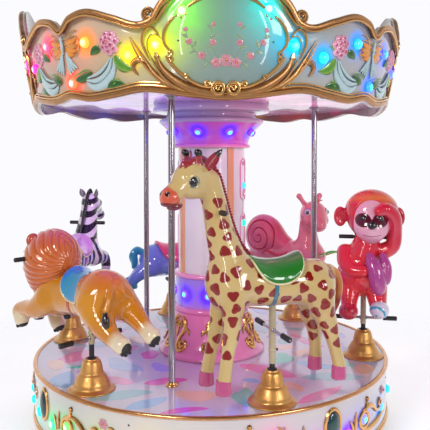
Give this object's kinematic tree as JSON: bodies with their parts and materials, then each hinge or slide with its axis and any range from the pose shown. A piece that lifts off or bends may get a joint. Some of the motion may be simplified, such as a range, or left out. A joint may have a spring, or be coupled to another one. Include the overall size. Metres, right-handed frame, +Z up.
{
  "type": "fairground carousel",
  "caption": "Children's carousel: riding animals slide on posts over a round turning deck, round a centre column, under a flat canopy with a tall crested fascia.",
  "frame": {"origin": "on the floor under the centre foot, on the turntable's axis", "axes": "+Z up along the turntable's axis; -Y is the front, where the picture looks from; +X is to the viewer's right"},
  "size_m": [2.312, 2.3461, 2.76],
  "materials": {
    "frame_steel": "satin grey paint",
    "deck_gloss": "gloss gel coat with pastel patches",
    "gold_trim": "gold paint",
    "cream_gloss": "gloss gel coat",
    "pink_gloss": "gloss gel coat",
    "white_gloss": "gloss gel coat",
    "polished_steel": "polished",
    "bell_gold": "metallic gold paint",
    "post_paint": "cream paint, bare rod below",
    "black_rubber": "ribbed grip",
    "green_saddle": "gloss",
    "blue_saddle": "gloss",
    "pink_saddle": "gloss",
    "giraffe_skin": "gloss, red-brown spots",
    "monkey_skin": "gloss",
    "snail_skin": "gloss",
    "pony_skin": "gloss",
    "zebra_skin": "gloss, black stripes",
    "lion_skin": "gloss"
  },
  "bodies": {
    "base": {"base_frame": "frame_steel", "base_bearing": "frame_steel"},
    "turntable": {"turntable_frame": "frame_steel", "deck": "deck_gloss", "deck_rim": "gold_trim", "skirt_1": "cream_gloss", "skirt_2": "cream_gloss", "skirt_3": "cream_gloss", "skirt_4": "cream_gloss", "column_base": "pink_gloss", "column_shaft": "white_gloss", "column_capital": "pink_gloss", "canopy_ceiling": "white_gloss", "fascia_1": "cream_gloss", "fascia_2": "cream_gloss", "fascia_3": "cream_gloss", "fascia_4": "cream_gloss", "canopy_roof": "cream_gloss", "roof_finial": "gold_trim", "pole_1": "polished_steel", "pole_2": "polished_steel", "pole_3": "polished_steel", "giraffe_bell": "bell_gold", "monkey_bell": "bell_gold", "snail_bell": "bell_gold", "pony_bell": "bell_gold", "zebra_bell": "bell_gold", "lion_bell": "bell_gold"},
    "giraffe_ride": {"giraffe": "giraffe_skin", "giraffe_saddle": "green_saddle", "giraffe_handle": "black_rubber", "giraffe_post": "post_paint"},
    "monkey_ride": {"monkey": "monkey_skin", "monkey_handle": "black_rubber", "monkey_post": "post_paint"},
    "snail_ride": {"snail": "snail_skin", "snail_post": "post_paint"},
    "pony_ride": {"pony": "pony_skin", "pony_saddle": "pink_saddle", "pony_handle": "black_rubber", "pony_post": "post_paint"},
    "zebra_ride": {"zebra": "zebra_skin", "zebra_saddle": "pink_saddle", "zebra_handle": "black_rubber", "zebra_post": "post_paint"},
    "lion_ride": {"lion": "lion_skin", "lion_saddle": "blue_saddle", "lion_handle": "black_rubber", "lion_post": "post_paint"}
  },
  "joints": [
    {"name": "turntable_spin", "type": "hinge", "parent": "base", "child": "turntable", "pos_m": [0, 0, 0.235], "axis": [0, 0, 1], "continuous": true},
    {"name": "giraffe_rise", "type": "slide", "parent": "turntable", "child": "giraffe_ride", "axis": [0, 0, 1], "range_m": [-0.035, 0.085]},
    {"name": "monkey_rise", "type": "slide", "parent": "turntable", "child": "monkey_ride", "axis": [0, 0, 1], "range_m": [-0.045, 0.075]},
    {"name": "snail_rise", "type": "slide", "parent": "turntable", "child": "snail_ride", "axis": [0, 0, 1], "range_m": [-0.055, 0.065]},
    {"name": "pony_rise", "type": "slide", "parent": "turntable", "child": "pony_ride", "axis": [0, 0, 1], "range_m": [-0.03, 0.09]},
    {"name": "zebra_rise", "type": "slide", "parent": "turntable", "child": "zebra_ride", "axis": [0, 0, 1], "range_m": [-0.065, 0.055]},
    {"name": "lion_rise", "type": "slide", "parent": "turntable", "child": "lion_ride", "axis": [0, 0, 1], "range_m": [-0.07, 0.05]}
  ]
}
